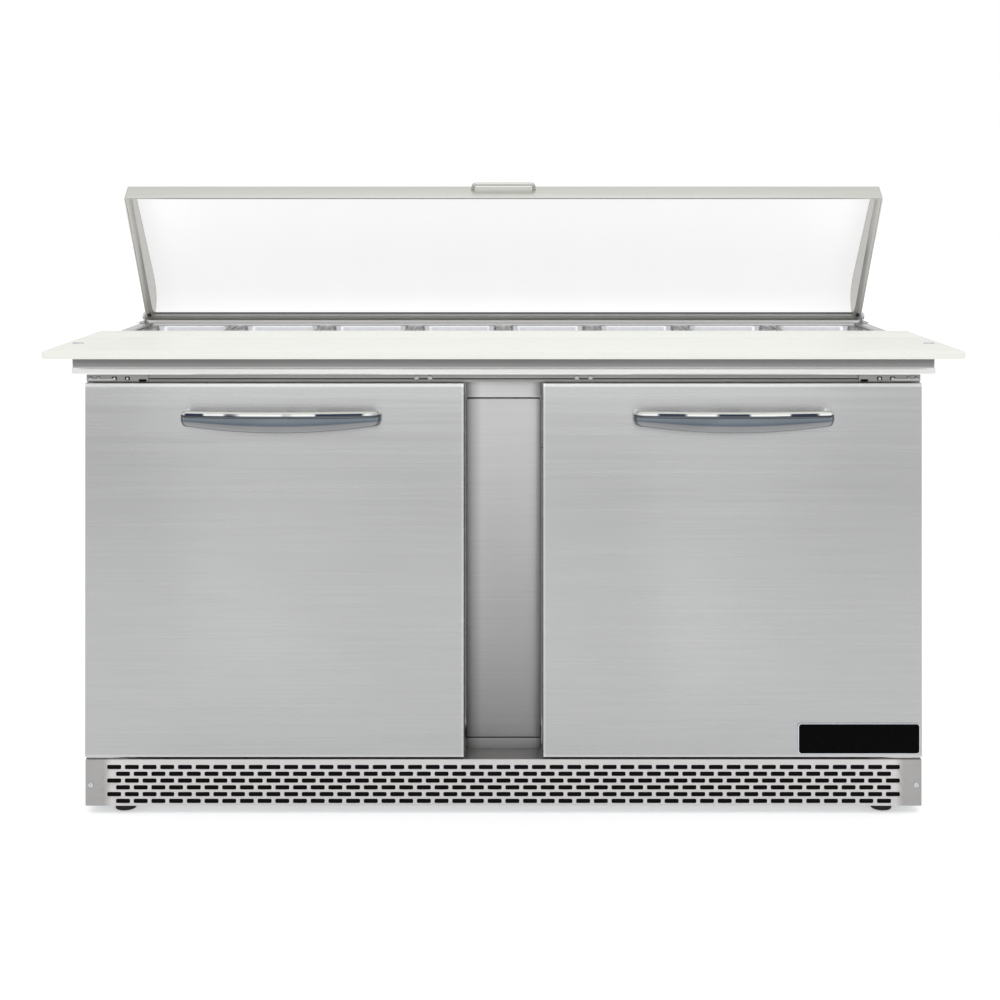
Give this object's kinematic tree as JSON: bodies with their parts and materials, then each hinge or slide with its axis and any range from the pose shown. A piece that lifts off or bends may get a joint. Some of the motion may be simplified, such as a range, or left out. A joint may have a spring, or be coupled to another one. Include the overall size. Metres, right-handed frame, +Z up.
{
  "type": "sandwich prep table",
  "caption": "Refrigerated sandwich prep table with swinging doors, a cutting board, lift-out food pans under a hinged lid, a front grille and screw feet.",
  "frame": {"origin": "on the floor under the middle of the whole object's box at rest", "axes": "+X to the right of someone facing the doors, +Y to the back, +Z up"},
  "size_m": [1.524, 0.84, 1.1152],
  "materials": {
    "brushed_steel": "satin",
    "pan_steel": "satin",
    "hinge_steel": "satin",
    "galvanised": "satin",
    "chrome": "polished",
    "board_plastic": "matte",
    "white_liner": "satin",
    "insulation_foam": "matte",
    "gasket_rubber": "matte",
    "black_plastic": "satin",
    "black_rubber": "matte",
    "black_paint": "satin",
    "coil_fins": "satin",
    "coated_wire": "satin"
  },
  "bodies": {
    "cabinet": {"front_grille": "brushed_steel", "worktop": "brushed_steel", "left_side_panel": "brushed_steel", "right_side_panel": "brushed_steel", "front_frame": "brushed_steel", "mullion_cover": "brushed_steel", "hinge_top_left": "hinge_steel", "hinge_top_right": "hinge_steel", "hinge_bottom_left": "hinge_steel", "hinge_bottom_right": "hinge_steel", "lid_hinge_left": "hinge_steel", "lid_hinge_right": "hinge_steel", "rear_panel": "galvanised", "base_pan": "galvanised", "foam_insulation": "insulation_foam", "interior_liner": "white_liner", "pan_divider_rack": "brushed_steel", "compressor": "black_paint", "condenser_coil": "coil_fins", "condenser_fan_motor": "black_paint", "evaporator_coil": "coil_fins", "evaporator_fan_motor": "black_paint", "shelf_left": "coated_wire", "shelf_right": "coated_wire"},
    "cutting_board": {"cutting_board": "board_plastic"},
    "lid": {"lid_shell": "brushed_steel", "lid_liner": "white_liner", "lid_handle": "brushed_steel"},
    "left_door": {"left_door_skin": "brushed_steel", "left_door_liner": "white_liner", "left_door_gasket": "gasket_rubber", "left_door_handle": "chrome"},
    "right_door": {"right_door_skin": "brushed_steel", "right_door_liner": "white_liner", "right_door_gasket": "gasket_rubber", "right_door_handle": "chrome", "nameplate": "black_plastic"},
    "condenser_fan": {"condenser_fan_blade": "black_plastic"},
    "evaporator_fan": {"evaporator_fan_blade": "black_plastic"},
    "thermostat": {"thermostat_knob": "black_plastic"},
    "foot_front_left": {"foot_front_left": "black_rubber"},
    "foot_front_right": {"foot_front_right": "black_rubber"},
    "foot_rear_left": {"foot_rear_left": "black_rubber"},
    "foot_rear_right": {"foot_rear_right": "black_rubber"},
    "pan_front_1": {"pan_front_1": "pan_steel"},
    "pan_front_2": {"pan_front_2": "pan_steel"},
    "pan_front_3": {"pan_front_3": "pan_steel"},
    "pan_front_4": {"pan_front_4": "pan_steel"},
    "pan_front_5": {"pan_front_5": "pan_steel"},
    "pan_front_6": {"pan_front_6": "pan_steel"},
    "pan_front_7": {"pan_front_7": "pan_steel"},
    "pan_front_8": {"pan_front_8": "pan_steel"},
    "pan_rear_1": {"pan_rear_1": "pan_steel"},
    "pan_rear_2": {"pan_rear_2": "pan_steel"},
    "pan_rear_3": {"pan_rear_3": "pan_steel"},
    "pan_rear_4": {"pan_rear_4": "pan_steel"},
    "pan_rear_5": {"pan_rear_5": "pan_steel"},
    "pan_rear_6": {"pan_rear_6": "pan_steel"},
    "pan_rear_7": {"pan_rear_7": "pan_steel"},
    "pan_rear_8": {"pan_rear_8": "pan_steel"}
  },
  "joints": [
    {"name": "board_lift", "type": "slide", "parent": "cabinet", "child": "cutting_board", "axis": [0, 0, 1], "range_m": [0, 0.12]},
    {"name": "door_left_swing", "type": "hinge", "parent": "cabinet", "child": "left_door", "pos_m": [-0.723, -0.206, 0.43025], "axis": [0, 0, -1], "range_deg": [0, 120]},
    {"name": "door_right_swing", "type": "hinge", "parent": "cabinet", "child": "right_door", "pos_m": [0.723, -0.206, 0.43025], "axis": [0, 0, 1], "range_deg": [0, 120]},
    {"name": "fan_condenser_spin", "type": "hinge", "parent": "cabinet", "child": "condenser_fan", "pos_m": [-0.28, 0.298, 0.165], "axis": [0, 1, 0], "continuous": true},
    {"name": "fan_evaporator_spin", "type": "hinge", "parent": "cabinet", "child": "evaporator_fan", "pos_m": [-0.17, 0.306, 0.49], "axis": [0, 1, 0], "continuous": true},
    {"name": "lid_swing", "type": "hinge", "parent": "cabinet", "child": "lid", "pos_m": [0, 0.3, 0.836], "axis": [-1, 0, 0], "range_deg": [-52, 38]},
    {"name": "pan_front_1_lift", "type": "slide", "parent": "cabinet", "child": "pan_front_1", "axis": [0, 0, 1], "range_m": [0, 0.12]},
    {"name": "pan_front_2_lift", "type": "slide", "parent": "cabinet", "child": "pan_front_2", "axis": [0, 0, 1], "range_m": [0, 0.12]},
    {"name": "pan_front_3_lift", "type": "slide", "parent": "cabinet", "child": "pan_front_3", "axis": [0, 0, 1], "range_m": [0, 0.12]},
    {"name": "pan_front_4_lift", "type": "slide", "parent": "cabinet", "child": "pan_front_4", "axis": [0, 0, 1], "range_m": [0, 0.12]},
    {"name": "pan_front_5_lift", "type": "slide", "parent": "cabinet", "child": "pan_front_5", "axis": [0, 0, 1], "range_m": [0, 0.12]},
    {"name": "pan_front_6_lift", "type": "slide", "parent": "cabinet", "child": "pan_front_6", "axis": [0, 0, 1], "range_m": [0, 0.12]},
    {"name": "pan_front_7_lift", "type": "slide", "parent": "cabinet", "child": "pan_front_7", "axis": [0, 0, 1], "range_m": [0, 0.12]},
    {"name": "pan_front_8_lift", "type": "slide", "parent": "cabinet", "child": "pan_front_8", "axis": [0, 0, 1], "range_m": [0, 0.12]},
    {"name": "pan_rear_1_lift", "type": "slide", "parent": "cabinet", "child": "pan_rear_1", "axis": [0, 0, 1], "range_m": [0, 0.08]},
    {"name": "pan_rear_2_lift", "type": "slide", "parent": "cabinet", "child": "pan_rear_2", "axis": [0, 0, 1], "range_m": [0, 0.08]},
    {"name": "pan_rear_3_lift", "type": "slide", "parent": "cabinet", "child": "pan_rear_3", "axis": [0, 0, 1], "range_m": [0, 0.08]},
    {"name": "pan_rear_4_lift", "type": "slide", "parent": "cabinet", "child": "pan_rear_4", "axis": [0, 0, 1], "range_m": [0, 0.08]},
    {"name": "pan_rear_5_lift", "type": "slide", "parent": "cabinet", "child": "pan_rear_5", "axis": [0, 0, 1], "range_m": [0, 0.08]},
    {"name": "pan_rear_6_lift", "type": "slide", "parent": "cabinet", "child": "pan_rear_6", "axis": [0, 0, 1], "range_m": [0, 0.08]},
    {"name": "pan_rear_7_lift", "type": "slide", "parent": "cabinet", "child": "pan_rear_7", "axis": [0, 0, 1], "range_m": [0, 0.08]},
    {"name": "pan_rear_8_lift", "type": "slide", "parent": "cabinet", "child": "pan_rear_8", "axis": [0, 0, 1], "range_m": [0, 0.08]},
    {"name": "screw_foot_front_left", "type": "slide", "parent": "cabinet", "child": "foot_front_left", "axis": [0, 0, -1], "range_m": [0, 0.015]},
    {"name": "screw_foot_front_right", "type": "slide", "parent": "cabinet", "child": "foot_front_right", "axis": [0, 0, -1], "range_m": [0, 0.015]},
    {"name": "screw_foot_rear_left", "type": "slide", "parent": "cabinet", "child": "foot_rear_left", "axis": [0, 0, -1], "range_m": [0, 0.015]},
    {"name": "screw_foot_rear_right", "type": "slide", "parent": "cabinet", "child": "foot_rear_right", "axis": [0, 0, -1], "range_m": [0, 0.015]},
    {"name": "thermostat_turn", "type": "hinge", "parent": "cabinet", "child": "thermostat", "pos_m": [-0.696, 0.04, 0.64], "axis": [1, 0, 0], "range_deg": [0, 270]}
  ]
}
